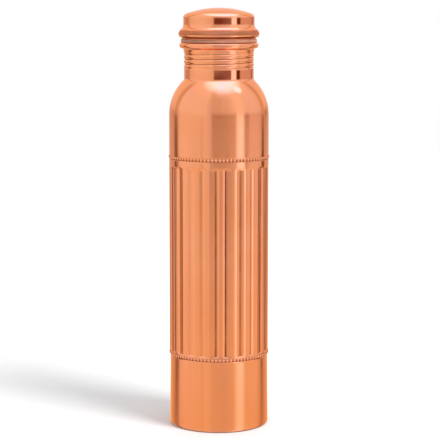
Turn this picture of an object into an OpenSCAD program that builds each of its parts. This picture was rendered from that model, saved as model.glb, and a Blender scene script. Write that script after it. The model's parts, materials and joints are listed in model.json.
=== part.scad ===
// Copper water bottle with a screw cap.
// Millimetres, +Z up. The origin is the centre of the foot, on the surface that the bottle stands on.
// The bottle is a drawn copper shell with a base disc let into its foot. The cap is a domed shell
// with a threaded cup under it, and a silicone washer seals it on the curled rim.

/* [Bottle] */
// Diameter of the plain upper wall
body_d = 70.4; // [66:0.1:76]
// Diameter over the lands of the fluted wall
fluted_d = 70.5; // [66:0.1:76.4]
// Diameter of the foot
foot_d = 70.3; // [66:0.1:76.4]
// Diameter of the plain lower band just under the lower bead ring
band_top_d = 69.4; // [65:0.1:76]
// Thickness of the copper sheet
sheet = 0.6; // [0.5:0.1:0.8]
// Height of the mouth, to the top of the curled rim
mouth_h = 272.75; // [268:0.25:290]
// Radius of the round between the wall and the underside of the foot
foot_round = 1.8; // [1.2:0.1:2.5]

/* [Shoulder and neck] */
// Height at which the shoulder starts
shoulder_z = 222; // [215:0.5:223]
// Radius of the shoulder's dome
shoulder_r = 34; // [30:0.5:35]
// Radius of the hollow round where the shoulder meets the neck
neck_round = 4; // [3:0.5:9]
// Outer diameter of the plain neck
neck_d = 49; // [48:0.25:50]
// Outer diameter of the neck just under the rim
lip_d = 49.8; // [49.5:0.1:50.4]
// Radius of the rolled bead that makes the rim
curl_r = 1.75; // [1.4:0.05:1.9]

/* [Beads and flutes] */
// Height of the lower bead ring
lower_bead_z = 52; // [50:0.5:56]
// Height of the upper bead ring
upper_bead_z = 192.5; // [185:0.5:200]
// Diameter over the bead rings
bead_d = 71.5; // [70.8:0.1:77]
// Number of flutes round the body
flute_count = 24; // [12:1:28]
// Radius of a flute's round bottom
flute_r = 1.2; // [1:0.05:1.4]
// Depth of a flute below the lands
flute_depth = 0.85; // [0.6:0.05:1]
// Clear height between the lower bead ring and the flutes
flute_low_gap = 2.8; // [2.5:0.1:10]
// Clear height between the flutes and the upper bead ring
flute_high_gap = 7.4; // [3:0.1:15]

/* [Thread] */
// Rise of the cap in one turn
pitch = 3.4; // [3:0.1:4]
// Half the depth of the rolled thread inside the neck
thread_amp = 0.35; // [0.3:0.01:0.38]
// Half the depth of the same thread on the outside of the neck
thread_amp_outside = 0.22; // [0.1:0.01:0.3]
// Radial gap between the neck's thread and the cap's thread
thread_gap = 0.23; // [0.2:0.01:0.26]
// Height at which the neck's thread starts
thread_z = 254; // [253:0.2:254.4]
// Length of the neck's thread
thread_len = 12.2; // [11:0.2:12.4]

/* [Cap] */
// Diameter of the cap's wall
cap_d = 50; // [49:0.1:51]
// Height of the cap above the rim of the bottle
cap_h = 24.15; // [22:0.05:26]
// Radius of the dome
dome_r = 68; // [60:1:90]
// Radius of the round between the wall and the dome
dome_round = 4.5; // [2:0.25:6]
// Thickness of the cap's sheet
cap_sheet = 0.7; // [0.5:0.1:0.8]
// Diameter of the knurled grip ring
grip_d = 56.8; // [56:0.1:58]
// Height of the knurled grip ring
grip_h = 5; // [4:0.1:5.5]
// Radius of the hollow round between the wall and the grip ring
flare_r = 4.2; // [3.8:0.1:5]
// Diameter of the cup's flange, which bears on the washer
flange_d = 52.3; // [52:0.1:53]
// Outer diameter of the silicone washer
washer_d = 53.6; // [52.6:0.1:54]
// Thickness of the silicone washer
washer_h = 2.25; // [1.8:0.05:2.5]
// Depth of the threaded cup below the washer
cup_depth = 22.5; // [21.5:0.25:23]

/* [Hidden] */
$fn = 96;

// Depth by which one piece of a solid runs into the next, and height of a cut that goes right through
overlap = 1;
cut_h = 10;

copper = "#d98557";
inner_copper = "#b9683d";
silicone = "#e6dcd6";

// Bottle
body_r = body_d / 2;
foot_r = foot_d / 2;
fluted_r = fluted_d / 2;
band_top_r = band_top_d / 2;
neck_r = neck_d / 2;
lip_r = lip_d / 2;
bead_r = 1;
bead_step = 1.6;
band_top_z = lower_bead_z - bead_step;
// The body's wall goes on under the shoulder's arc, and the arc starts flush with it.
arc_x = body_r - shoulder_r;
round_x = neck_r + neck_round;
round_z = shoulder_z + sqrt(pow(shoulder_r + neck_round, 2) - pow(round_x - arc_x, 2));
// The arc and the round meet here.
meet_x = arc_x + (round_x - arc_x) * shoulder_r / (shoulder_r + neck_round);
curl_x = lip_r - sheet + curl_r;
curl_z = mouth_h - curl_r;
// Open gap between the end of the curl and the neck
curl_gap = curl_r * 0.55;
lip_z = thread_z + thread_len;
lip_cone_h = 1;
// The hem under the foot, and the base disc that lies on it
hem_in_r = 30.5;
hem_h = 0.7;
base_rim_r = 28;
base_dish_r = 24.5;
base_dish_h = 2.4;
base_gap = 0.06;
base_sheet = 0.7;
base_edge_r = foot_r - sheet - base_gap;

// Flutes
flute_x = fluted_r - flute_depth + flute_r;
flute_z0 = lower_bead_z + flute_low_gap;
flute_z1 = upper_bead_z - flute_high_gap;
// A groove lies to the left of the front, so that a land is near the front.
flute_turn = -90 - 4.6;

// Thread
thread_sides = 48;
thread_rings = 8;
sagitta = 1 - cos(180 / thread_sides);
neck_in_r = neck_r - sheet;
thread_in_r = 23.65;
thread_out_r = 24.38;
ring_inset = 0.04;
cup_thread_r = thread_in_r - thread_gap;
cup_r = 23.05;
cup_in_r = cup_r - sheet;
cup_thread_z = 255.4;
cup_thread_len = 11.6;
fade = 1.7;

// Cap
washer_z = mouth_h;
flange_z = washer_z + washer_h;
flange_h = 0.8;
washer_in_r = 23.9;
cup_z = flange_z - cup_depth;
cup_round = 2;
lip_bottom_z = flange_z + flange_h;
lip_step = 0.5;
grip_z = lip_bottom_z + lip_step;
grip_r = grip_d / 2;
grip_round = 1.3;
grip_top_round = 0.5;
cap_r = cap_d / 2;
flare_x = cap_r + flare_r;
// The flare's round ends on the flat top of the grip ring.
grip_flat_r = grip_r - grip_top_round;
flare_z = grip_z + grip_h + sqrt(pow(flare_r, 2) - pow(flare_x - grip_flat_r, 2));
cap_top = mouth_h + cap_h;
dome_z = cap_top - dome_r;
dome_corner_x = cap_r - dome_round;
dome_corner_z = dome_z + sqrt(pow(dome_r - dome_round, 2) - pow(dome_corner_x, 2));

// Rise from 0 to 1 over the fade length at each end of a thread.
function ease(x) = x <= 0 ? 0 : x >= 1 ? 1 : x * x * (3 - 2 * x);
function thread_fade(z, z0, len) = ease((z - z0) / fade) * ease((z0 + len - z) / fade);
// Wave of the thread, one crest in each turn of the helix.
function wave(angle, z) = cos(360 * (z - thread_z) / pitch - angle);
function thread_radius(angle, z, z0, len, end_r, mean_r, amp) =
    let (k = thread_fade(z, z0, len))
    end_r + k * (mean_r - end_r + amp * wave(angle, z));

// A tube whose wall carries the thread. Its two ends are plain rings.
module thread_tube(z0, len, out_end_r, out_r, out_amp, in_end_r, in_r, in_amp) {
    steps = round(len / pitch * thread_rings);
    n = thread_sides;
    angles = [for (i = [0 : n - 1]) 360 * i / n];
    heights = [for (j = [0 : steps]) z0 + len * j / steps];
    outside = [for (z = heights, a = angles)
        let (r = thread_radius(a, z, z0, len, out_end_r, out_r, out_amp)) [r * cos(a), r * sin(a), z]];
    inside = [for (z = heights, a = angles)
        let (r = thread_radius(a, z, z0, len, in_end_r, in_r, in_amp)) [r * cos(a), r * sin(a), z]];
    m = n * (steps + 1);
    function q(i, j) = j * n + i % n;
    outer_faces = [for (j = [0 : steps - 1], i = [0 : n - 1], half = [0, 1])
        half == 0 ? [q(i, j), q(i, j + 1), q(i + 1, j + 1)] : [q(i, j), q(i + 1, j + 1), q(i + 1, j)]];
    inner_faces = [for (f = outer_faces) [m + f[0], m + f[2], m + f[1]]];
    bottom = [for (i = [0 : n - 1]) [q(i, 0), q(i + 1, 0), m + q(i + 1, 0), m + q(i, 0)]];
    top = [for (i = [0 : n - 1])
        [q(i + 1, steps), q(i, steps), m + q(i, steps), m + q(i + 1, steps)]];
    polyhedron(points = concat(outside, inside), faces = concat(outer_faces, inner_faces, bottom, top));
}

// Upright rod with round ends, which cuts one flute.
module flute_rod(r, x, z0, z1) {
    translate([x, 0, z0])
        rotate_extrude($fn = 48)
            intersection() {
                square([r, z1 - z0]);
                union() {
                    translate([0, r])
                        circle(r);
                    translate([0, z1 - z0 - r])
                        circle(r);
                    translate([0, r])
                        square([r, z1 - z0 - 2 * r]);
                }
            }
}

module flute_rods(grow) {
    for (i = [0 : flute_count - 1])
        rotate([0, 0, flute_turn + 360 * i / flute_count])
            flute_rod(flute_r + grow, flute_x, flute_z0 - grow, flute_z1 + grow);
}

// Half section of everything inside the bottle's outer surface, drawn in by the thickness t.
module bottle_section(t) {
    foot_z = t > 0 ? hem_h : 0;
    round_in = max(foot_round - t, 0.4);
    // Foot and plain lower band
    difference() {
        polygon([
            [0, foot_z],
            [foot_r - t, foot_z],
            [foot_r - t, foot_round],
            [band_top_r - t, band_top_z],
            [0, band_top_z]
        ]);
        difference() {
            translate([foot_r - t - round_in, foot_z - overlap])
                square([round_in + overlap, round_in + overlap]);
            translate([foot_r - t - round_in, foot_z + round_in])
                circle(round_in);
        }
    }
    // Step out to the fluted wall, under the lower bead ring
    polygon([
        [0, band_top_z],
        [band_top_r - t, band_top_z],
        [fluted_r - t, lower_bead_z],
        [0, lower_bead_z]
    ]);
    // Fluted wall between the bead rings
    translate([0, lower_bead_z])
        square([fluted_r - t, upper_bead_z - lower_bead_z]);
    // Plain upper wall
    translate([0, upper_bead_z])
        square([body_r - t, shoulder_z - upper_bead_z]);
    // Shoulder and the hollow round under the neck
    intersection() {
        translate([arc_x, shoulder_z])
            circle(shoulder_r - t, $fn = 180);
        translate([0, shoulder_z])
            square([body_r, round_z - shoulder_z]);
    }
    translate([0, shoulder_z])
        square([arc_x, shoulder_r - t]);
    difference() {
        translate([0, shoulder_z])
            square([meet_x, round_z - shoulder_z]);
        translate([round_x, round_z])
            circle(neck_round + t);
    }
    // Neck, which starts a little inside the round
    translate([0, round_z - 2 * overlap])
        square([neck_r - t, lip_z - round_z + 2 * overlap]);
    // Lip
    polygon([
        [0, lip_z],
        [neck_r - t, lip_z],
        [lip_r - t, lip_z + lip_cone_h],
        [lip_r - t, curl_z],
        [0, curl_z]
    ]);
}

module bottle_shell() {
    color(copper) {
        difference() {
            union() {
                difference() {
                    rotate_extrude()
                        bottle_section(0);
                    flute_rods(0);
                }
                for (z = [lower_bead_z, upper_bead_z])
                    translate([0, 0, z])
                        rotate_extrude()
                            translate([bead_d / 2 - bead_r, 0])
                                circle(bead_r, $fn = 32);
            }
            difference() {
                rotate_extrude()
                    bottle_section(sheet);
                flute_rods(sheet);
            }
            // Mouth, opened through the rim
            translate([0, 0, curl_z - overlap])
                cylinder(r = lip_r - sheet, h = cut_h);
            // Opening in the foot that the base disc closes
            translate([0, 0, -overlap])
                cylinder(r = hem_in_r, h = cut_h);
            // Room for the threaded stretch of the neck
            translate([0, 0, thread_z])
                cylinder(r = body_r, h = thread_len);
        }
        thread_tube(thread_z, thread_len, neck_r - ring_inset, thread_out_r, thread_amp_outside,
            neck_in_r / (1 - sagitta) + ring_inset, thread_in_r, thread_amp);
        // Rim, rolled outwards into a bead
        translate([0, 0, curl_z])
            rotate_extrude()
                translate([curl_x, 0])
                    difference() {
                        circle(curl_r, $fn = 48);
                        circle(curl_r - sheet, $fn = 48);
                        translate([-curl_r, -curl_r])
                            square([curl_r, curl_gap]);
                    }
    }
}

module base_disc() {
    color(copper)
        rotate_extrude()
            polygon([
                [0, hem_h + base_dish_h],
                [base_dish_r, hem_h + base_dish_h],
                [base_rim_r, hem_h],
                [base_edge_r - foot_round, hem_h],
                [base_edge_r, hem_h + foot_round],
                [base_edge_r, hem_h + foot_round + base_sheet],
                [base_edge_r - foot_round, hem_h + base_sheet],
                [base_rim_r, hem_h + base_sheet],
                [base_dish_r, hem_h + base_dish_h + base_sheet],
                [0, hem_h + base_dish_h + base_sheet]
            ]);
}

module silicone_washer() {
    color(silicone)
        translate([0, 0, washer_z])
            rotate_extrude()
                translate([washer_in_r, 0])
                    square([washer_d / 2 - washer_in_r, washer_h]);
}

// Half section of the cap's outer form, drawn in by the thickness t, down to the top of the grip ring.
module dome_section(t) {
    intersection() {
        translate([0, dome_z])
            circle(dome_r - t, $fn = 180);
        translate([0, dome_corner_z - overlap])
            square([dome_corner_x * dome_r / (dome_r - dome_round), dome_r]);
    }
    intersection() {
        translate([dome_corner_x, dome_corner_z])
            circle(dome_round - t);
        translate([0, dome_corner_z - overlap])
            square([cap_r, dome_round + overlap]);
    }
    translate([0, grip_z])
        square([cap_r - t, dome_corner_z - grip_z]);
}

module cap_shell() {
    color(copper)
        rotate_extrude()
            difference() {
                union() {
                    dome_section(0);
                    // Flare from the wall out to the grip ring
                    difference() {
                        translate([0, grip_z + grip_h - grip_top_round])
                            square([grip_flat_r, flare_z - grip_z - grip_h + grip_top_round]);
                        translate([flare_x, flare_z])
                            circle(flare_r);
                    }
                    // Grip ring with its rolled underside
                    translate([0, grip_z])
                        square([grip_r - grip_round, grip_h]);
                    translate([0, grip_z + grip_round])
                        square([grip_r, grip_h - grip_round - grip_top_round]);
                    translate([grip_r - grip_round, grip_z + grip_round])
                        circle(grip_round);
                    translate([grip_r - grip_top_round, grip_z + grip_h - grip_top_round])
                        circle(grip_top_round);
                    // Lip that bears on the cup's flange
                    translate([0, lip_bottom_z])
                        square([flange_d / 2, grip_z - lip_bottom_z + overlap]);
                }
                dome_section(cap_sheet);
                // Hollow of the rolled ring
                translate([0, grip_z + cap_sheet])
                    square([grip_r - grip_round, grip_h - 2 * cap_sheet]);
                translate([0, lip_bottom_z - overlap])
                    square([cap_r - cap_sheet, cut_h]);
            }
}

module threaded_cup() {
    thread_top = cup_thread_z + cup_thread_len;
    color(inner_copper) {
        // Bottom and plain skirt, up to the thread
        rotate_extrude()
            difference() {
                union() {
                    translate([0, cup_z])
                        square([cup_r - cup_round, cup_round]);
                    translate([cup_r - cup_round, cup_z + cup_round])
                        intersection() {
                            circle(cup_round);
                            translate([0, -cup_round])
                                square(cup_round);
                        }
                    translate([0, cup_z + cup_round])
                        square([cup_r, cup_thread_z - cup_z - cup_round]);
                }
                translate([0, cup_z + sheet])
                    square([cup_r - cup_round, cup_round]);
                translate([cup_r - cup_round, cup_z + cup_round])
                    circle(cup_round - sheet);
                translate([0, cup_z + cup_round])
                    square([cup_in_r, cup_thread_z]);
            }
        thread_tube(cup_thread_z, cup_thread_len, cup_r - ring_inset, cup_thread_r, thread_amp,
            cup_in_r / (1 - sagitta) + ring_inset, cup_thread_r - sheet, thread_amp);
        // Plain neck above the thread, and the flange
        rotate_extrude()
            union() {
                translate([cup_in_r, thread_top])
                    square([sheet, flange_z + flange_h - thread_top]);
                translate([cup_in_r, flange_z])
                    square([flange_d / 2 - cup_in_r, flange_h]);
            }
    }
}

bottle_shell();
base_disc();
silicone_washer();
cap_shell();
threaded_cup();
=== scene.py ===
"""Looks of the copper water bottle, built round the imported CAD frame.

Sections are drawn in millimetres, as (radius, height) points about the bottle's axis, and every mesh is made
in metres. Each section runs anticlockwise, up the outside and down the inside, so its faces point outwards.
"""
import json
import math

import bpy
import numpy as np
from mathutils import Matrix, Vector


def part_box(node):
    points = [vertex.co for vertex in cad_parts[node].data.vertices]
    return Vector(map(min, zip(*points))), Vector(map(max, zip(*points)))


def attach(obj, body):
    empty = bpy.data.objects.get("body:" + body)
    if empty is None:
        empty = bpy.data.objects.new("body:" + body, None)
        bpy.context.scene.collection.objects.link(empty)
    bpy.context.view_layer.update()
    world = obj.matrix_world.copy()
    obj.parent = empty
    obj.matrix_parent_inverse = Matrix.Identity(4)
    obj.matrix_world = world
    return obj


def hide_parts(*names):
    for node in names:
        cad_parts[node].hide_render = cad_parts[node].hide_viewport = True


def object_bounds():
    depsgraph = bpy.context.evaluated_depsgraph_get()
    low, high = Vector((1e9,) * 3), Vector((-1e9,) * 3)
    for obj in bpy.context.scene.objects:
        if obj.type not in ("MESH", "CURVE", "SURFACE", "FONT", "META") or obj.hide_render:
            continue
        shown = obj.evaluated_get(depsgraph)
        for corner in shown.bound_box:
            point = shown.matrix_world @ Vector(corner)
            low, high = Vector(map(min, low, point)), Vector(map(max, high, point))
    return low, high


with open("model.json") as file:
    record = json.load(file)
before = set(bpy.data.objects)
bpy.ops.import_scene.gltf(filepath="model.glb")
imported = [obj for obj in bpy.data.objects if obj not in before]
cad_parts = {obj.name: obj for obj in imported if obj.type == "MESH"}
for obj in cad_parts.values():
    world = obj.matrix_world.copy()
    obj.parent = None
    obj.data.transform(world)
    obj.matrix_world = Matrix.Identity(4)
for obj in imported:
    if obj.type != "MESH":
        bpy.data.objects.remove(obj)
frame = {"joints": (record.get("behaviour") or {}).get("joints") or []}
cad_low, cad_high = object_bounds()

MM = 0.001


# ---------------------------------------------------------------- sizes, taken from the frame

def box_mm(node):
    """Lowest and highest corner of a CAD node, in millimetres."""
    low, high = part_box(node)
    return [c / MM for c in low], [c / MM for c in high]


shell_high = box_mm("bottle_shell")[1]
base_low, base_high = box_mm("base_disc")
washer_low, washer_high = box_mm("silicone_washer")
cap_low, cap_high = box_mm("cap_shell")
cup_low, cup_high = box_mm("threaded_cup")
turn = next(j for j in frame["joints"] if j["name"] == "cap_turn")
rise = next(j for j in frame["joints"] if j["name"] == "cap_rise")

BEAD_R = shell_high[0]                      # over the bead rings
MOUTH_Z = shell_high[2]
CAP_TOP = cap_high[2]
GRIP_R = cap_high[0]

# Bottle wall
SHEET = 0.6
BODY_R = BEAD_R - 0.55
FLUTED_R = BEAD_R - 0.5
FOOT_R = BEAD_R - 0.6
BAND_TOP_R = BEAD_R - 1.05
FOOT_ROUND = 1.8
HEM_IN_R = 30.5
HEM_H = base_low[2]
SHOULDER_Z = 222.0
SHOULDER_ARC = 34.0
NECK_R = 24.5
NECK_ROUND = 2.2
LIP_R = 24.9
CURL_R = 1.75
CURL_HALF_H = 2.1
CURL_X = LIP_R - SHEET + CURL_R
CURL_Z = MOUTH_Z - CURL_HALF_H

# The shoulder's arc, about (ARC_X, SHOULDER_Z), and the hollow round under the neck, about
# (ROUND_X, ROUND_Z), touch at height MEET_Z.
ARC_X = BODY_R - SHOULDER_ARC
ROUND_X = NECK_R + NECK_ROUND
ROUND_Z = SHOULDER_Z + math.sqrt((SHOULDER_ARC + NECK_ROUND) ** 2 - (ROUND_X - ARC_X) ** 2)
MEET_ANGLE = math.degrees(math.atan2(ROUND_Z - SHOULDER_Z, ROUND_X - ARC_X))
MEET_Z = SHOULDER_Z + SHOULDER_ARC * math.sin(math.radians(MEET_ANGLE))

# Beads and flutes
LOWER_BEAD_Z = 52.0
UPPER_BEAD_Z = 192.5
BEAD_COUNT = 84
BEAD_BUMP_R = 0.98
BEAD_BUMP_H = 0.56
BEAD_CHANNEL = 0.12
BEAD_TURN = math.radians(1.0)
RING_HALF_H = 1.9                           # half the height of the strip that a bead ring takes up
RING_REACH = 2.2                            # how far from a ring its relief reaches
CHANNEL_HALF_H = 1.71                       # of the shallow channel that the beads stand in
CHANNEL_EDGE = 0.9                          # height over which the channel's edge fades
FLUTE_COUNT = 24
FLUTE_TURN = math.radians(-90 - 4.6)
FLUTE_DEPTH = 0.85
# The flutes are worked by hand: how far each crease strays, in degrees, and how much painted shade it gets,
# twice round
FLUTE_HABITS = [
    (1.0, 0.9), (-2.8, 1.0), (0.0, 0.85), (0.4, 0.6), (1.2, 1.0), (-0.6, 0.9),
    (0.5, 0.7), (-0.8, 0.8), (1.0, 1.0), (-1.5, 0.8), (0.3, 0.25), (0.0, 0.4),
]
FLUTE_HABITS = FLUTE_HABITS * (FLUTE_COUNT // len(FLUTE_HABITS))
CREASES = np.array([FLUTE_TURN + 2 * math.pi * i / FLUTE_COUNT + math.radians(habit[0])
                    for i, habit in enumerate(FLUTE_HABITS)])
CREASE_SHADE_AMOUNTS = np.array([habit[1] for habit in FLUTE_HABITS])
FLUTE_LOW_Z = 54.8
FLUTE_HIGH_Z = 185.1
LOW_END_BLUNT = 3                           # the flutes' ends are this much blunter than round
HIGH_END_BLUNT = 2
CREASE = 0.22
LAND = 0.05                                 # half the flat land between two flutes

# Thread. The slide's limit is a tenth of a millimetre past the screw's travel.
PITCH = (rise["range_m"][1] - 0.0001) / MM / (turn["range_deg"][1] / 360)
THREAD_Z = 254.0
THREAD_LEN = 12.2
THREAD_MEAN_OUT = 24.38
THREAD_AMP_OUT = 0.24
THREAD_MEAN_IN = 23.65
THREAD_AMP = 0.35
THREAD_FADE = 1.7
THREAD_FLAT = 1.5
CUP_R = 23.05
CUP_THREAD_Z = 255.4
CUP_THREAD_LEN = 11.6
CUP_THREAD_MEAN = 23.42

# Mesh density: columns round the axis
FINE = 672
COARSE = 224
CUP_COLUMNS = 240
KNURLS = 116
KNURL_COLUMNS = KNURLS * 10
CAP_COLUMNS = KNURL_COLUMNS // 5


# ---------------------------------------------------------------- mesh building

def arc(cx, cz, r, start, end, steps):
    """Points on a circle from start to end degrees, both ends included."""
    angles = [math.radians(start + (end - start) * i / steps) for i in range(steps + 1)]
    return [(cx + r * math.cos(a), cz + r * math.sin(a)) for a in angles]


def line(p, q, steps):
    """Points from p to q, without p."""
    return [(p[0] + (q[0] - p[0]) * i / steps, p[1] + (q[1] - p[1]) * i / steps)
            for i in range(1, steps + 1)]


def smooth(x):
    """Rises from 0 to 1 as x goes from 0 to 1."""
    x = np.clip(x, 0.0, 1.0)
    return x * x * (3 - 2 * x)


def ring_faces(a, na, b, nb):
    """Faces between ring a and ring b, whose numbers of columns may differ by a whole factor."""
    if na == 1:
        return [(a, b + (t + 1) % nb, b + t) for t in range(nb)]
    if nb == 1:
        return [(a + t, a + (t + 1) % na, b) for t in range(na)]
    if na == nb:
        return [(a + t, a + (t + 1) % na, b + (t + 1) % nb, b + t) for t in range(na)]
    if nb > na:
        k = nb // na
        return [(a + t, a + (t + 1) % na) + tuple(b + (t * k + k - i) % nb for i in range(k + 1))
                for t in range(na)]
    k = na // nb
    return [tuple(a + (t * k + i) % na for i in range(k + 1)) + (b + (t + 1) % nb, b + t) for t in range(nb)]


def lathe(name, section, material, closed, relief=None):
    """A solid of revolution. section is [(radius, height, columns)], and relief(angle, radius, height) gives
    the new radius and how much painted shade the point gets, from 0 to 1, kept as its recess. closed joins
    the last ring to the first."""
    points, starts, recess = [], [], []
    for r, z, n in section:
        starts.append(sum(len(p) for p in points))
        if r < 1e-6:
            points.append(np.array([[0.0, 0.0, z]]))
            recess.append(np.zeros(1))
            continue
        a = np.arange(n) * 2 * math.pi / n
        radius, deep = (relief(a, r, z) if relief else (np.full(n, r), np.zeros(n)))
        points.append(np.stack([radius * np.cos(a), radius * np.sin(a), np.full(n, z)], 1))
        recess.append(deep)
    sizes = [len(p) for p in points]
    faces = []
    for i in range(len(sizes) - 1):
        faces += ring_faces(starts[i], sizes[i], starts[i + 1], sizes[i + 1])
    if closed:
        faces += ring_faces(starts[-1], sizes[-1], starts[0], sizes[0])
    mesh = bpy.data.meshes.new(name)
    mesh.from_pydata((np.concatenate(points) * MM).tolist(), [], faces)
    mesh.polygons.foreach_set("use_smooth", [True] * len(mesh.polygons))
    layer = mesh.attributes.new("recess", "FLOAT", "POINT")
    layer.data.foreach_set("value", np.concatenate(recess).astype(np.float32))
    mesh.update()
    mesh.validate()
    piece = bpy.data.objects.new(name, mesh)
    bpy.context.scene.collection.objects.link(piece)
    mesh.materials.append(material)
    return piece


def with_columns(points, n):
    """Gives every point of a section the same number of columns."""
    return [(r, z, n) for r, z in points]


# ---------------------------------------------------------------- materials

def new_material(name):
    material = bpy.data.materials.new(name)
    material.use_nodes = True
    tree = material.node_tree
    tree.nodes.clear()
    output = tree.nodes.new("ShaderNodeOutputMaterial")
    shader = tree.nodes.new("ShaderNodeBsdfPrincipled")
    tree.links.new(shader.outputs["BSDF"], output.inputs["Surface"])
    return material, tree, shader


def set_inputs(node, values):
    for name, value in values.items():
        node.inputs[name].default_value = value


def add_node(tree, kind, values=None, **settings):
    node = tree.nodes.new(kind)
    for name, value in settings.items():
        setattr(node, name, value)
    set_inputs(node, values or {})
    return node


def noise(tree, coordinates, scale, detail=3.0, roughness=0.5, stretch=(1, 1, 1)):
    """Noise in object space. stretch multiplies the coordinates first."""
    mapping = add_node(tree, "ShaderNodeMapping", {"Scale": stretch})
    tree.links.new(coordinates, mapping.inputs["Vector"])
    node = add_node(tree, "ShaderNodeTexNoise", {"Scale": scale, "Detail": detail, "Roughness": roughness})
    tree.links.new(mapping.outputs["Vector"], node.inputs["Vector"])
    return node.outputs["Fac"]


def spread(tree, value, low, high, to_low, to_high):
    """Maps value from low..high to to_low..to_high, clamped."""
    node = add_node(tree, "ShaderNodeMapRange", {"From Min": low, "From Max": high, "To Min": to_low,
                                                 "To Max": to_high})
    tree.links.new(value, node.inputs["Value"])
    return node.outputs["Result"]


def math_node(tree, operation, a, b):
    node = add_node(tree, "ShaderNodeMath", operation=operation)
    for socket, value in zip(node.inputs, (a, b)):
        if isinstance(value, (int, float)):
            socket.default_value = value
        else:
            tree.links.new(value, socket)
    return node.outputs["Value"]


def mix_colour(tree, factor, a, b):
    """a where factor is 0, b where it is 1. a and b are colours or sockets."""
    node = add_node(tree, "ShaderNodeMix", data_type="RGBA")
    if isinstance(factor, (int, float)):
        node.inputs["Factor"].default_value = factor
    else:
        tree.links.new(factor, node.inputs["Factor"])
    for name, value in (("A", a), ("B", b)):
        socket = next(s for s in node.inputs if s.name == name and s.type == "RGBA")
        if isinstance(value, tuple):
            socket.default_value = value + (1.0,)
        else:
            tree.links.new(value, socket)
    return next(s for s in node.outputs if s.type == "RGBA")


# Heights in metres between which the plain wall's polish turns into the neck's brighter polish
NECK_POLISH = (0.230, 0.241)
COPPER = (0.95, 0.37, 0.183)
COPPER_WARM = (0.92, 0.335, 0.148)
COPPER_PINK = (0.90, 0.33, 0.21)
# Very dark copper, painted into the recesses as shade
COPPER_RECESS_SHADE = (0.22, 0.04, 0.006)
COPPER_EDGE = (1.0, 0.74, 0.60, 1.0)


def copper(name, roughness, streaks, smudges, recess_shade_amount, anisotropy, neck_roughness=None):
    """Polished copper: fine lines round the axis from the polishing lathe, faint smudges, and painted shade
    in the recesses. roughness is the clean metal's, and streaks, smudges and the painted recess shade are
    from 0 to 1. The neck may have a roughness of its own."""
    material, tree, shader = new_material(name)
    here = add_node(tree, "ShaderNodeTexCoord").outputs["Object"]
    set_inputs(shader, {"Metallic": 1.0, "Anisotropic": anisotropy, "Anisotropic Rotation": 0.25,
                        "Specular Tint": COPPER_EDGE})
    tangent = add_node(tree, "ShaderNodeTangent", direction_type="RADIAL", axis="Z")
    tree.links.new(tangent.outputs["Tangent"], shader.inputs["Tangent"])

    lines = noise(tree, here, 1.0, 2.0, 0.6, (60, 60, 3500))
    broad_lines = noise(tree, here, 1.0, 2.0, 0.5, (25, 25, 700))
    clouds = noise(tree, here, 22.0, 4.0, 0.55)
    patches = noise(tree, here, 75.0, 5.0, 0.6)
    recess = add_node(tree, "ShaderNodeAttribute", attribute_name="recess").outputs["Fac"]

    # Colour: two copper tones in broad clouds, pinker streaks up the wall, then painted shade in the recesses
    tone = mix_colour(tree, spread(tree, clouds, 0.35, 0.68, 0.0, 1.0), COPPER, COPPER_WARM)
    drawn = noise(tree, here, 1.0, 2.0, 0.5, (120, 120, 2.5))
    tone = mix_colour(tree, spread(tree, drawn, 0.50, 0.68, 0.0, 0.5), tone, COPPER_PINK)
    # Painted shade: the recess mask, made a little uneven, darkens the copper
    recess_shade_mix = math_node(tree, "MULTIPLY", spread(tree, recess, 0.25, 1.0, 0.0, recess_shade_amount),
                      spread(tree, patches, 0.3, 0.6, 0.75, 1.0))
    tree.links.new(mix_colour(tree, recess_shade_mix, tone, COPPER_RECESS_SHADE), shader.inputs["Base Color"])

    # Roughness: the polish, its streaks, and smudges from handling
    clean = roughness
    if neck_roughness:
        height = add_node(tree, "ShaderNodeSeparateXYZ")
        tree.links.new(here, height.inputs["Vector"])
        clean = spread(tree, height.outputs["Z"], NECK_POLISH[0], NECK_POLISH[1], roughness, neck_roughness)
    uneven = math_node(tree, "ADD", spread(tree, broad_lines, 0.3, 0.7, -0.2 * streaks, 0.25 * streaks),
                       spread(tree, clouds, 0.3, 0.7, 0.85, 1.2))
    smudge = spread(tree, patches, 0.56, 0.74, 0.0, smudges)
    rough = math_node(tree, "MULTIPLY", math_node(tree, "ADD", uneven, smudge), clean)
    tree.links.new(rough, shader.inputs["Roughness"])

    # Relief: the lathe lines and a very slight waviness of the drawn sheet
    bump = add_node(tree, "ShaderNodeBump", {"Strength": 0.06 * streaks, "Distance": 0.00002})
    tree.links.new(lines, bump.inputs["Height"])
    waves = add_node(tree, "ShaderNodeBump", {"Strength": 0.16, "Distance": 0.00012})
    tree.links.new(clouds, waves.inputs["Height"])
    tree.links.new(bump.outputs["Normal"], waves.inputs["Normal"])
    tree.links.new(waves.outputs["Normal"], shader.inputs["Normal"])
    return material


# Milky silicone, with the warm light of the copper round it painted into its colour
SILICONE = (0.52, 0.22, 0.13)
SILICONE_DARK = (0.43, 0.18, 0.105)


def silicone(name):
    """Milky silicone that lets a little light through."""
    material, tree, shader = new_material(name)
    here = add_node(tree, "ShaderNodeTexCoord").outputs["Object"]
    set_inputs(shader, {"Transmission Weight": 0.12, "IOR": 1.41, "Subsurface Weight": 0.25,
                        "Subsurface Scale": 0.002})
    cloud = noise(tree, here, 160.0, 3.0, 0.5)
    dust = noise(tree, here, 900.0, 2.0, 0.5)
    milky = spread(tree, cloud, 0.35, 0.65, 0.0, 1.0)
    colour = mix_colour(tree, milky, SILICONE, SILICONE_DARK)
    tree.links.new(colour, shader.inputs["Base Color"])
    tree.links.new(spread(tree, dust, 0.3, 0.7, 0.28, 0.5), shader.inputs["Roughness"])
    bump = add_node(tree, "ShaderNodeBump", {"Strength": 0.15, "Distance": 0.00005})
    tree.links.new(dust, bump.inputs["Height"])
    tree.links.new(bump.outputs["Normal"], shader.inputs["Normal"])
    return material


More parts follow.
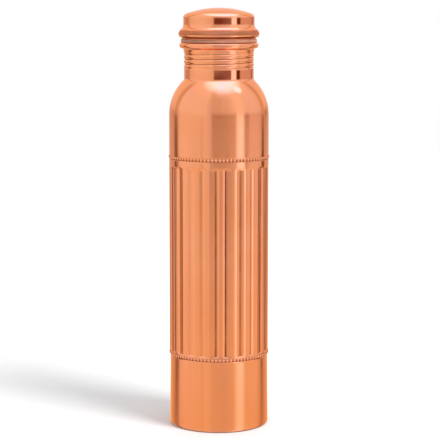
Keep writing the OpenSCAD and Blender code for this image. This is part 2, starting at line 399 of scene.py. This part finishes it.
def table_top(name):
    """Plain white table top, nearly matt."""
    material, tree, shader = new_material(name)
    set_inputs(shader, {"Specular IOR Level": 0.1})
    here = add_node(tree, "ShaderNodeTexCoord").outputs["Object"]
    grain = noise(tree, here, 40.0, 3.0, 0.5)
    shade = spread(tree, grain, 0.3, 0.7, 0.0, 1.0)
    colour = mix_colour(tree, shade, (0.80, 0.80, 0.80), (0.82, 0.82, 0.825))
    tree.links.new(colour, shader.inputs["Base Color"])
    tree.links.new(spread(tree, grain, 0.3, 0.7, 0.6, 0.7), shader.inputs["Roughness"])
    return material


# ---------------------------------------------------------------- relief of the bottle

def base_radius(z):
    """Radius of the bottle's wall between the foot's round and the shoulder, without beads and flutes."""
    band_top, step_up, step_down = LOWER_BEAD_Z - 1.6, 1.3, 1.2
    band = FOOT_R + (BAND_TOP_R - FOOT_R) * (z - FOOT_ROUND) / (band_top - FOOT_ROUND)
    if z < LOWER_BEAD_Z:
        step = float(smooth((z - (LOWER_BEAD_Z - RING_HALF_H)) / step_up))
        return min(band, FOOT_R) * (1 - step) + FLUTED_R * step
    step = float(smooth((z - (UPPER_BEAD_Z + 0.5)) / step_down))
    return FLUTED_R * (1 - step) + BODY_R * step


def from_creases(angle):
    """Angle from every crease, as an array with a row for each crease."""
    turned = angle[None, :] - CREASES[:, None]
    return np.abs((turned + math.pi) % (2 * math.pi) - math.pi)


def flute_depth(angle, z):
    """Depth of the flutes: each is a crease with sides that swell up to full lands half way to the next."""
    across = np.min(from_creases(angle), axis=0) * FLUTED_R
    beyond = max(LOW_END_BLUNT * (FLUTE_LOW_Z - z), HIGH_END_BLUNT * (z - FLUTE_HIGH_Z), 0.0)
    half = math.pi * FLUTED_R / FLUTE_COUNT
    away = np.sqrt(across ** 2 + beyond ** 2 + CREASE ** 2) - CREASE
    return FLUTE_DEPTH * np.clip(1 - away / (half - LAND), 0, 1) ** 2


def flutes_above_ring(angle, z):
    """The flutes' depth, faded out just above the lower bead ring."""
    return flute_depth(angle, z) * float(smooth((z - LOWER_BEAD_Z - 1.2) / 1.0))


def crease_shade(angle):
    """How much painted shade the nearest crease gets, from 0 to 1."""
    return CREASE_SHADE_AMOUNTS[np.argmin(from_creases(angle), axis=0)]


def wall_ripple(angle):
    """The sheet is a little wavy between the flutes."""
    return 0.012 * np.sin(31 * angle + 1.1) + 0.008 * np.sin(53 * angle + 0.3) + 0.004 * np.sin(97 * angle)


def bead_height(angle, z, ring_z):
    """Height of the round beads of one ring."""
    spacing = 2 * math.pi / BEAD_COUNT
    across = ((angle - BEAD_TURN + spacing / 2) % spacing - spacing / 2) * FLUTED_R
    away = np.sqrt(across ** 2 + (z - ring_z) ** 2) / BEAD_BUMP_R
    return BEAD_BUMP_H * np.sqrt(np.clip(1 - away ** 2, 0, 1))


def thread_fade(z, low, length):
    """A thread runs out at both ends."""
    return float(smooth((z - low) / THREAD_FADE) * smooth((low + length - z) / THREAD_FADE))


def thread_wave(angle, z):
    """Rolled thread with broad crests and hollows, from -1 to 1."""
    wave = np.cos(2 * math.pi * (z - THREAD_Z) / PITCH - angle)
    return np.tanh(THREAD_FLAT * wave) / math.tanh(THREAD_FLAT)


def nearest_ring(z):
    """Height of the bead ring nearest to height z."""
    return LOWER_BEAD_Z if z < (LOWER_BEAD_Z + UPPER_BEAD_Z) / 2 else UPPER_BEAD_Z


def wall_relief(angle, r, z):
    """Radius of the outer wall between the bead rings' outer edges, and the painted shade it gets."""
    depth = flutes_above_ring(angle, z)
    ring_z = nearest_ring(z)
    channel = float(smooth((CHANNEL_HALF_H - abs(z - ring_z)) / CHANNEL_EDGE))
    beads = bead_height(angle, z, ring_z)
    ripple = wall_ripple(angle) * (1 - channel)
    radius = r - depth - BEAD_CHANNEL * channel + beads + ripple
    # Painted shade between the beads, stronger below them than above
    bead_shade_side = 1.0 if ring_z > z else 0.6
    pit = channel * np.clip(1 - beads / (0.6 * BEAD_BUMP_H), 0, 1) * bead_shade_side
    # Painted shade along the flutes' creases
    crease = crease_shade(angle) * np.clip(depth / FLUTE_DEPTH, 0, 1) ** 2
    return radius, np.clip(crease + pit, 0, 1)


def neck_relief(angle, r, z):
    """Radius of the neck's rolled thread, seen from outside, with painted shade in its hollows."""
    k = thread_fade(z, THREAD_Z, THREAD_LEN)
    wave = thread_wave(angle, z)
    radius = r + k * (THREAD_MEAN_OUT - NECK_R + THREAD_AMP_OUT * wave)
    return radius, 0.75 * k * np.clip(-wave, 0, 1) ** 5


def shell_relief(angle, r, z):
    """Relief of the whole bottle shell. The inside is told from the outside by its smaller radius."""
    if z < FOOT_ROUND:
        # Painted contact shadow along the foot's bottom edge
        edge = 1 - float(smooth((z - 0.3) / 0.9))
        return np.full_like(angle, r), np.full_like(angle, edge)
    inside = r < outer_radius(z) - 0.4 * SHEET
    if THREAD_Z <= z <= THREAD_Z + THREAD_LEN:
        if not inside:
            return neck_relief(angle, r, z)
        k = thread_fade(z, THREAD_Z, THREAD_LEN)
        wave = thread_wave(angle, z)
        # Painted shade in the thread's hollows inside the neck
        return r + k * (THREAD_MEAN_IN - (NECK_R - SHEET) + THREAD_AMP * wave), k * np.clip(wave, 0, 1)
    if LOWER_BEAD_Z - RING_REACH < z < UPPER_BEAD_Z + RING_REACH:
        if not inside:
            return wall_relief(angle, r, z)
        return r - flutes_above_ring(angle, z), np.zeros_like(angle)
    return np.full_like(angle, r), np.zeros_like(angle)


def outer_radius(z):
    """Plain outer radius of the wall at height z, from foot to lip."""
    if z < SHOULDER_Z:
        return base_radius(z)
    if z < MEET_Z:
        return BODY_R - SHOULDER_ARC + math.sqrt(SHOULDER_ARC ** 2 - (z - SHOULDER_Z) ** 2)
    if z < ROUND_Z:
        return ROUND_X - math.sqrt(NECK_ROUND ** 2 - (ROUND_Z - z) ** 2)
    return NECK_R


# ---------------------------------------------------------------- pieces

def steps_between(low, high, step):
    """Heights from low up to high, without high, about step apart."""
    n = max(1, round((high - low) / step))
    return [low + (high - low) * i / n for i in range(n)]


def make_bottle_shell(material):
    """The whole bottle, one drawn sheet: foot hem, band, beads, flutes, shoulder, neck, thread and rim."""
    foot = line((HEM_IN_R + HEM_H / 2, 0), (FOOT_R - FOOT_ROUND, 0), 3)
    foot = [(HEM_IN_R + HEM_H / 2, 0)] + foot
    foot += arc(FOOT_R - FOOT_ROUND, FOOT_ROUND, FOOT_ROUND, -90, 0, 8)[1:]
    band = [(base_radius(z), z) for z in (10, 20, 30, 40, LOWER_BEAD_Z - 2.6)]
    # Rows of the beaded and fluted wall: from, to, and about how far apart
    lower_beads, upper_beads = LOWER_BEAD_Z + 1.7, UPPER_BEAD_Z - 1.7
    bead_row = 0.24
    rows = [
        (LOWER_BEAD_Z - RING_HALF_H, lower_beads, bead_row), (lower_beads, 57.4, 0.36), (57.4, 62, 0.8),
        (62, 178, 15), (178, 183.6, 0.9), (183.6, upper_beads, 0.42),
        (upper_beads, UPPER_BEAD_Z + RING_HALF_H + bead_row, bead_row),
    ]
    fine = [z for low, high, step in rows for z in steps_between(low, high, step)]
    wall = [(base_radius(z), z) for z in (UPPER_BEAD_Z + 2.4, 202, 212)]
    shoulder = arc(ARC_X, SHOULDER_Z, SHOULDER_ARC, 0, MEET_ANGLE, 18)
    shoulder += arc(ROUND_X, ROUND_Z, NECK_ROUND, MEET_ANGLE - 180, -180, 8)[1:]
    neck = [(NECK_R, z) for z in steps_between(THREAD_Z, THREAD_Z + THREAD_LEN, 0.25)]
    thread_top = THREAD_Z + THREAD_LEN
    neck += [(NECK_R, thread_top)] + line((NECK_R, thread_top), (LIP_R, thread_top + 1), 3)
    curl_start = -180 + math.degrees(math.acos((CURL_X - LIP_R) / CURL_R))
    round_curl = arc(0, 0, 1, curl_start, 180, 26)
    curl = [(CURL_X + CURL_R * x, CURL_Z + CURL_HALF_H * z) for x, z in round_curl]
    inside_neck = [(LIP_R - SHEET, thread_top + 1), (NECK_R - SHEET, thread_top)]
    inside_neck += [(NECK_R - SHEET, z) for z in reversed(steps_between(THREAD_Z, thread_top, 0.68))]
    inside = arc(ROUND_X, ROUND_Z, NECK_ROUND + SHEET, -180, MEET_ANGLE - 180, 5)
    inside += arc(ARC_X, SHOULDER_Z, SHOULDER_ARC - SHEET, MEET_ANGLE, 0, 10)[1:]
    inner_z = [
        205, UPPER_BEAD_Z + 2.4, UPPER_BEAD_Z, 190, 188, 186.5, 185, 184, 182, 178, 140, 100, 62, 59, 57,
        55.5, 54.5, 53, LOWER_BEAD_Z, LOWER_BEAD_Z - 2, 40, 20,
    ]
    inside += [(base_radius(z) - SHEET, z) for z in inner_z]
    inner_round = FOOT_ROUND - SHEET
    inside += arc(FOOT_R - SHEET - inner_round, HEM_H + inner_round, inner_round, 0, -90, 5)
    inside += arc(HEM_IN_R + HEM_H / 2, HEM_H / 2, HEM_H / 2, 90, 270, 6)[:-1]
    section = with_columns(foot + band, COARSE)
    section += [(base_radius(z), z, FINE) for z in fine]
    section += with_columns(wall + shoulder + neck + curl + inside_neck + inside, COARSE)
    return lathe("bottle_shell_copper", section, material, True, shell_relief)


def make_base_disc(material):
    """Pressed disc let into the foot: a flat rim on the hem, a step, and a dished middle with two rings."""
    low, high, edge = base_low[2], base_high[2], base_high[0]
    thick = 0.7
    dish = low + 2.4
    step_in, step_out = 24.2, 28.2
    under = [(0, dish), (6, dish - 0.02), (8, dish - 0.10), (8.8, dish - 0.10), (10.8, dish), (17, dish)]
    under += [(18.4, dish - 0.1), (19.2, dish - 0.1), (20.6, dish), (step_in, dish - 0.15)]
    under += [(25.4, dish - 0.6), (27.0, low + 0.5), (step_out, low)]
    rim = [(edge - 1.8, low), (edge - 0.7, low + 0.55), (edge, low + 1.8), (edge, high)]
    over = [(edge - 0.6, high - 0.4), (edge - 1.8, low + thick), (step_out, low + thick)]
    over += [(27.0, low + 0.5 + thick), (25.4, dish - 0.6 + thick), (step_in, dish - 0.15 + thick)]
    over += [(20.6, dish + thick), (10.8, dish + thick), (0, dish + thick)]
    return lathe("base_disc_copper", with_columns(under + rim + over, COARSE), material, False)


WASHER_HOLE_R = 23.9


def make_washer(material):
    """Silicone washer with rounded edges."""
    low, high, outer = washer_low[2], washer_high[2], washer_high[0]
    inner = WASHER_HOLE_R
    r = 0.55
    section = arc(outer - r, low + r, r, -90, 0, 6) + arc(outer - r, high - r, r, 0, 90, 6)
    section += arc(inner + r, high - r, r, 90, 180, 6) + arc(inner + r, low + r, r, 180, 270, 6)
    return lathe("washer_silicone", with_columns(section, COARSE), material, True, washer_relief)


def washer_relief(angle, r, z):
    """A moulded washer is never quite round or flat."""
    swell = 0.05 * np.sin(3 * angle + 0.4) + 0.03 * np.sin(7 * angle)
    outside = r > (WASHER_HOLE_R + washer_high[0]) / 2
    return r + swell * (1 if outside else -1), np.zeros_like(angle)


GRIP_LOW = cap_low[2] + 0.5
GRIP_HIGH = GRIP_LOW + 5.0
GRIP_MID = (GRIP_LOW + GRIP_HIGH) / 2
KNURL_LOW = GRIP_LOW + 1.7
KNURL_HIGH = GRIP_HIGH - 0.35
KNURL_FADE = 0.35
KNURL_DEPTH = 0.32
KNURL_SLOPE = math.tan(math.radians(45))


def knurl_relief(angle, r, z):
    """Diamond knurl on the grip ring, cut by two families of slanting grooves. The ring's underside and the
    grooves get painted shade."""
    # Painted shade under the grip ring
    under = 1 - float(smooth((z - GRIP_LOW - 0.5) / 0.6))
    if r < GRIP_R - 0.9 or not KNURL_LOW - 0.3 <= z <= KNURL_HIGH + 0.3:
        return np.full_like(angle, r), np.full_like(angle, under)
    fade = float(smooth((z - KNURL_LOW) / KNURL_FADE + 0.5) * smooth((KNURL_HIGH - z) / KNURL_FADE + 0.5))
    slant = (z - KNURL_LOW) * KNURL_SLOPE / GRIP_R
    depth = np.zeros_like(angle)
    for side in (-1, 1):
        turn_at = (angle + side * slant) * KNURLS / (2 * math.pi)
        groove = np.abs((turn_at % 1.0) - 0.5) * 2
        depth = np.maximum(depth, np.clip((groove - 0.3) / 0.6, 0, 1))
    return r - KNURL_DEPTH * fade * depth, np.clip(fade * (0.1 + 1.1 * depth), under, 1)


def bulge(z):
    """Radius of the rolled grip ring, fullest half way up."""
    return GRIP_R - 0.3 * ((z - GRIP_MID) / (GRIP_MID - GRIP_LOW - 1.3)) ** 2


def make_cap_shell(material):
    """Domed cap with a flare and a knurled grip ring rolled under."""
    wall_r, sheet, flare = 25.0, 0.7, 4.2
    # The dome meets the wall in two arcs, a tight one from the wall up to its bend, then a wider one
    dome_r, tight, wide, bend = 68.0, 1.5, 4.5, 30
    dome_z = CAP_TOP - dome_r
    bend_x, bend_z = math.cos(math.radians(bend)), math.sin(math.radians(bend))
    corner_x = wall_r - tight + (tight - wide) * bend_x
    corner_z = dome_z + math.sqrt((dome_r - wide) ** 2 - corner_x ** 2)
    tilt = math.degrees(math.atan2(corner_z - dome_z, corner_x))
    tight_x, tight_z = wall_r - tight, corner_z + (wide - tight) * bend_z
    flat_r = GRIP_R - 0.5
    flare_x = wall_r + flare
    flare_z = GRIP_HIGH + math.sqrt(flare ** 2 - (flare_x - flat_r) ** 2)
    flare_start = math.degrees(math.atan2(GRIP_HIGH - flare_z, flat_r - flare_x))
    roll = 1.3
    flange_r, lip_z = 26.15, cap_low[2]
    under = [(wall_r - sheet, lip_z), (25.2, lip_z), (flange_r - 0.25, lip_z), (flange_r, lip_z + 0.2)]
    under += [(flange_r, GRIP_LOW - 0.1), (flange_r + 0.1, GRIP_LOW)]
    roll_arc = arc(GRIP_R - roll - 0.3, GRIP_LOW + roll, roll, -90, 0, 10)
    grip_round = 0.5
    round_z = GRIP_HIGH - grip_round
    knurl = [(bulge(z), z) for z in steps_between(GRIP_LOW + roll + 0.12, round_z, 0.17)]
    top = arc(bulge(round_z) - grip_round, round_z, grip_round, 0, 90, 6)
    flare_arc = arc(flare_x, flare_z, flare, flare_start, -180, 12)[1:]
    wall = [(wall_r, z) for z in (flare_z + 1.2, tight_z - 1.2)]
    dome = arc(tight_x, tight_z, tight, 0, bend, 5) + arc(corner_x, corner_z, wide, bend, tilt, 8)[1:]
    dome += arc(0, dome_z, dome_r, tilt, 90, 14)[1:]
    dome[-1] = (0, dome[-1][1])
    inner = arc(0, dome_z, dome_r - sheet, 90, tilt, 8)
    inner += arc(corner_x, corner_z, wide - sheet, tilt, bend, 5)[1:]
    inner += arc(tight_x, tight_z, tight - sheet, bend, 0, 3)[1:]
    inner[0] = (0, inner[0][1])
    # The hollow inside the grip ring
    inner += [(wall_r - sheet, GRIP_HIGH - 0.6), (wall_r, GRIP_HIGH - 0.7), (GRIP_R - 1.5, GRIP_HIGH - 0.7)]
    inner += [(GRIP_R - 1.3, GRIP_HIGH - 1), (GRIP_R - 1.3, GRIP_LOW + 1), (GRIP_R - 1.5, GRIP_LOW + 0.7)]
    inner += [(wall_r, GRIP_LOW + 0.7), (wall_r - sheet, GRIP_LOW + 0.6)]
    low = with_columns(under + roll_arc[:-2], CAP_COLUMNS)
    ring = with_columns(roll_arc[-2:] + knurl + top[:3], KNURL_COLUMNS)
    high = with_columns(top[3:] + flare_arc + wall + dome, CAP_COLUMNS)
    inside = with_columns(inner, CAP_COLUMNS)
    return lathe("cap_shell_copper", inside + low + ring + high, material, False, knurl_relief)


def cup_relief(angle, r, z):
    """Rolled thread on the cup, the same wave as in the neck, with painted shade in its hollows."""
    if not CUP_THREAD_Z <= z <= CUP_THREAD_Z + CUP_THREAD_LEN:
        return np.full_like(angle, r), np.zeros_like(angle)
    k = thread_fade(z, CUP_THREAD_Z, CUP_THREAD_LEN)
    wave = thread_wave(angle, z)
    return r + k * (CUP_THREAD_MEAN - CUP_R + THREAD_AMP * wave), k * np.clip(-wave, 0, 1) ** 2


def make_threaded_cup(material):
    """Threaded cup under the cap, closed at the bottom, with the flange that presses on the washer."""
    wall, sheet, r = CUP_R, 0.6, 2.0
    low, high, flange = cup_low[2], cup_high[2], cup_high[0]
    flange_low = high - 0.8
    thread_top = CUP_THREAD_Z + CUP_THREAD_LEN
    floor = [(0, low + 0.5), (9.5, low + 0.5), (10.5, low + 0.35), (11.5, low), (16, low)]
    outside = floor + arc(wall - r, low + r, r, -90, 0, 7)
    outside += [(wall, z) for z in steps_between(CUP_THREAD_Z, thread_top, 0.3)]
    outside += [(wall, thread_top), (wall, 270.5)]
    outside += arc(wall + 0.5, flange_low - 0.5, 0.5, 180, 90, 4)
    outside += [(flange - 0.3, flange_low)] + arc(flange - 0.3, flange_low + 0.3, 0.3, -90, 0, 3)[1:]
    outside += [(flange, high - 0.2), (flange - 0.2, high), (wall - sheet + 0.5, high)]
    inside = [(wall - sheet, high - 0.5), (wall - sheet, thread_top)]
    inside += [(wall - sheet, z) for z in reversed(steps_between(CUP_THREAD_Z, thread_top, 0.6))]
    inside += arc(wall - r, low + r, r - sheet, 0, -90, 5)
    inside += [(11.5, low + sheet), (9.5, low + sheet + 0.5), (0, low + sheet + 0.5)]
    section = with_columns(outside + inside, CUP_COLUMNS)
    return lathe("threaded_cup_copper", section, material, False, cup_relief)


# ---------------------------------------------------------------- stage, light and camera

FLOOR_R = 2000.0


def make_floor():
    """A round white table top under the bottle, not mirrored in the copper."""
    rings = [(0, 0, 1)] + [(r, 0, 96) for r in (60, 150, 400, 900, FLOOR_R)]
    edge = [(FLOOR_R + 6, -4, 96), (FLOOR_R + 6, -20, 96), (0, -20, 1)]
    floor = lathe("floor", list(reversed(rings + edge)), table_top("white_table"), False)
    floor.visible_glossy = False


WHITE = (1.0, 1.0, 1.0)


def grey(level):
    return (level, level, level)


def cool(level):
    """Slightly bluish white, which copper mirrors as a paler tone than its own."""
    return (level, 1.04 * level, 1.15 * level)


# The narrow bright soft box to the right of the camera
STRIP = (1.55, 1.58, 2.0)
# What everything but a mirror reflection gets
EVEN_LIGHT = grey(0.86)

# The studio round the bottle, as (from, to, colour) by azimuth in degrees. 0 is the camera's side and
# positive angles are to the camera's right. Between two stretches the light blends.

# A little below the horizon, mirrored by the body
LOW_STUDIO = [
    (-180, -129, grey(0.75)), (-121.5, -113, (0.08, 0.03, 0.01)), (-107, -107, grey(0.90)),
    (-100, -80, grey(1.02)), (-56, -44, grey(0.90)), (-40, -40, grey(0.68)), (-36, -27, grey(0.92)),
    (-15, 12, grey(0.76)), (30, 36, grey(0.84)), (47, 57, STRIP), (65, 65, grey(0.88)),
    (74, 100, grey(0.95)), (113, 113, grey(0.80)), (118, 118, (0.51, 0.33, 0.23)),
    (120, 126, (0.12, 0.05, 0.02)), (129, 129, (0.64, 0.55, 0.57)), (136, 180, grey(0.75)),
]
# At the horizon, mirrored by the neck and the cap
HORIZON_STUDIO = [
    (-180, -150, grey(0.75)), (-128, -118, (0.62, 0.53, 0.50)), (-106, -100, grey(0.90)),
    (-85, -45, grey(0.98)), (-22, -19, grey(0.86)), (-14, 6, (0.20, 0.07, 0.05)),
    (34, 39, (0.34, 0.22, 0.18)), (44, 56, STRIP), (62, 71, (0.15, 0.045, 0.003)),
    (77, 100, (0.76, 0.62, 0.62)), (115, 130, (0.70, 0.60, 0.62)), (138, 141, (0.42, 0.26, 0.20)),
    (148, 180, grey(0.75)),
]
# Above the horizon, mirrored by the shoulder
MIDDLE_STUDIO = [
    (-180, -135, grey(1.0)), (-126, -126, grey(0.90)), (-120, -114, (0.76, 0.64, 0.58)),
    (-106, -60, cool(1.02)), (-45, -30, cool(1.0)), (-16, 2, grey(0.78)), (12, 20, grey(0.87)),
    (45, 56, cool(1.12)), (68, 100, cool(1.0)), (114, 114, grey(0.95)), (120, 126, (0.76, 0.65, 0.60)),
    (134, 180, grey(1.0)),
]
# High up, mirrored by the shoulder's top, the dome and the flare
HIGH_STUDIO = [
    (-180, -140, grey(1.0)), (-110, -60, cool(1.08)), (-45, -33, cool(1.12)), (-20, -12, grey(0.92)),
    (0, 20, cool(1.1)), (45, 100, cool(1.12)), (130, 180, grey(1.0)),
]
# Round lights overhead: azimuth and elevation of the middle, radius of the even part and of the edge, colour
LIGHTS = [
    (50, 83, 15, 34, (1.3, 2.3, 3.9)),
    (75, 54, 5, 10, (1.3, 2.3, 4.0)),
    (170, 72, 14, 28, (1.3, 2.3, 3.6)),
]
# The table close to the foot, mirrored by the lower band, where it is warm with the bottle's own light
TABLE_GLOW = (0.98, 0.74, 0.36)
TABLE_STUDIO = [
    (-180, -150, TABLE_GLOW), (-128, -120, (0.55, 0.42, 0.30)), (-105, -95, (0.90, 0.70, 0.50)),
    (-85, 30, TABLE_GLOW), (46, 54, (1.12, 1.00, 0.60)), (75, 100, TABLE_GLOW),
    (118, 128, (0.70, 0.54, 0.40)), (150, 180, TABLE_GLOW),
]


def half_ramp(tree, angle, marks):
    """Colour by angle, from 0 to 180 degrees. angle is in radians and marks are (degrees, colour)."""
    ramp = add_node(tree, "ShaderNodeValToRGB")
    tree.links.new(math_node(tree, "DIVIDE", angle, math.pi), ramp.inputs["Fac"])
    stops = ramp.color_ramp.elements
    stops.remove(stops[-1])
    for i, (degrees, colour) in enumerate(marks):
        stop = stops[0] if i == 0 else stops.new(degrees / 180)
        stop.position = degrees / 180
        stop.color = colour + (1.0,)
    return ramp.outputs["Color"]


def azimuth_light(tree, azimuth, studio):
    """Colour of the studio round the bottle by azimuth. The left and the right half have a ramp each."""
    marks = [(angle, colour) for low, high, colour in studio for angle in sorted({low, high})]
    angles = [angle for angle, colour in marks]
    ahead = tuple(float(np.interp(0, angles, [colour[i] for angle, colour in marks])) for i in range(3))
    left = [(0, ahead)] + [(-angle, colour) for angle, colour in reversed(marks) if angle < 0]
    right = [(0, ahead)] + [(angle, colour) for angle, colour in marks if angle > 0]
    angle = math_node(tree, "ABSOLUTE", azimuth, 0.0)
    to_right = math_node(tree, "GREATER_THAN", azimuth, 0.0)
    return mix_colour(tree, to_right, half_ramp(tree, angle, left), half_ramp(tree, angle, right))


def make_world():
    """A white studio with soft boxes, dark gaps between them and a bright ceiling panel. The camera itself
    sees plain white."""
    world = bpy.data.worlds.new("studio")
    bpy.context.scene.world = world
    world.use_nodes = True
    tree = world.node_tree
    tree.nodes.clear()
    output = tree.nodes.new("ShaderNodeOutputWorld")
    background = add_node(tree, "ShaderNodeBackground")
    direction = add_node(tree, "ShaderNodeTexCoord").outputs["Generated"]
    parts = add_node(tree, "ShaderNodeSeparateXYZ")
    tree.links.new(direction, parts.inputs["Vector"])
    x, y, z = parts.outputs["X"], parts.outputs["Y"], parts.outputs["Z"]
    azimuth = math_node(tree, "ARCTAN2", x, math_node(tree, "MULTIPLY", y, -1.0))
    elevation = math_node(tree, "ARCSINE", z, 0.0)
    low = azimuth_light(tree, azimuth, LOW_STUDIO)
    horizon = azimuth_light(tree, azimuth, HORIZON_STUDIO)
    middle = azimuth_light(tree, azimuth, MIDDLE_STUDIO)
    high = azimuth_light(tree, azimuth, HIGH_STUDIO)
    table = azimuth_light(tree, azimuth, TABLE_STUDIO)
    # Each stretch of elevation, in degrees, blends into the next. Steeper than the table's strip, the low
    # studio is back.
    blends = (
        (-21, -18, table), (-12.6, -11.4, low), (-4.2, -3.8, horizon), (-0.1, 3.5, middle), (40, 56, high),
    )
    studio = low
    for first, last, above in blends:
        rising = spread(tree, elevation, math.radians(first), math.radians(last), 0.0, 1.0)
        studio = mix_colour(tree, rising, studio, above)
    for light_azimuth, light_elevation, even, edge, colour in LIGHTS:
        across, up = math.radians(light_azimuth), math.radians(light_elevation)
        facing = add_node(tree, "ShaderNodeVectorMath", operation="DOT_PRODUCT")
        tree.links.new(direction, facing.inputs[0])
        level = math.cos(up)
        facing.inputs[1].default_value = (level * math.sin(across), -level * math.cos(across), math.sin(up))
        dark_from, full_from = math.cos(math.radians(edge)), math.cos(math.radians(even))
        lit = spread(tree, facing.outputs["Value"], dark_from, full_from, 0.0, 1.0)
        studio = mix_colour(tree, lit, studio, colour)
    # Only reflections see the studio. The table and the washer are lit evenly, and the camera sees white
    path = add_node(tree, "ShaderNodeLightPath")
    lighting = mix_colour(tree, path.outputs["Is Glossy Ray"], EVEN_LIGHT, studio)
    seen = mix_colour(tree, path.outputs["Is Camera Ray"], lighting, WHITE)
    tree.links.new(seen, background.inputs["Color"])
    tree.links.new(background.outputs["Background"], output.inputs["Surface"])


def make_sun(name, azimuth, elevation, strength, width):
    """A broad soft light that lights the table and the washer but isn't mirrored in the copper. Azimuth 0 is
    the camera's side, and positive is to its right. Angles are in degrees."""
    data = bpy.data.lights.new(name, "SUN")
    data.energy = strength
    data.angle = math.radians(width)
    light = bpy.data.objects.new(name, data)
    bpy.context.scene.collection.objects.link(light)
    light.rotation_euler = (math.radians(90 - elevation), 0.0, math.radians(azimuth))
    light.visible_glossy = False


# The camera, in metres in front of the bottle's axis and above the cap's top, and degrees down
CAMERA_AWAY = 1.170
CAMERA_ABOVE = 0.0101
CAMERA_DOWN = 7.8
CAMERA_LENS = 135.6
CAMERA_SHIFT = 0.0025


def make_camera():
    """The camera stands a little above the cap and looks slightly down at the bottle."""
    data = bpy.data.cameras.new("camera")
    camera = bpy.data.objects.new("camera", data)
    bpy.context.scene.collection.objects.link(camera)
    data.sensor_width = 36.0
    data.lens = CAMERA_LENS
    data.shift_x = CAMERA_SHIFT
    data.clip_start, data.clip_end = 0.05, 50.0
    camera.location = (0.0, -CAMERA_AWAY, cad_high.z + CAMERA_ABOVE)
    camera.rotation_euler = (math.radians(90 - CAMERA_DOWN), 0.0, 0.0)
    bpy.context.scene.camera = camera


# ---------------------------------------------------------------- the scene

make_camera()
make_world()
make_floor()
make_sun("key_light", azimuth=50, elevation=42, strength=2.6, width=25)

body_copper = copper("copper_body", roughness=0.15, streaks=0.35, smudges=0.2, recess_shade_amount=1.0, anisotropy=0.85,
                     neck_roughness=0.035)
cap_copper = copper("copper_cap", roughness=0.05, streaks=0.35, smudges=0.2, recess_shade_amount=1.0, anisotropy=0.3)
cup_copper = copper("copper_cup", roughness=0.28, streaks=1.0, smudges=0.7, recess_shade_amount=0.6, anisotropy=0.5)
base_copper = copper("copper_base", roughness=0.30, streaks=1.0, smudges=0.8, recess_shade_amount=0.5, anisotropy=0.6)

PIECES = [
    (make_bottle_shell(body_copper), "bottle", "bottle_shell", "copper_body"),
    (make_base_disc(base_copper), "bottle", "base_disc", "copper_base"),
    (make_washer(silicone("silicone")), "washer", "silicone_washer", "silicone"),
    (make_cap_shell(cap_copper), "cap", "cap_shell", "copper_cap"),
    (make_threaded_cup(cup_copper), "cap", "threaded_cup", "copper_cup"),
]
for piece, body, node, slot in PIECES:
    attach(piece, body)
    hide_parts(node)

view = bpy.context.scene.view_settings
view.view_transform = "Standard"
view.look = "None"
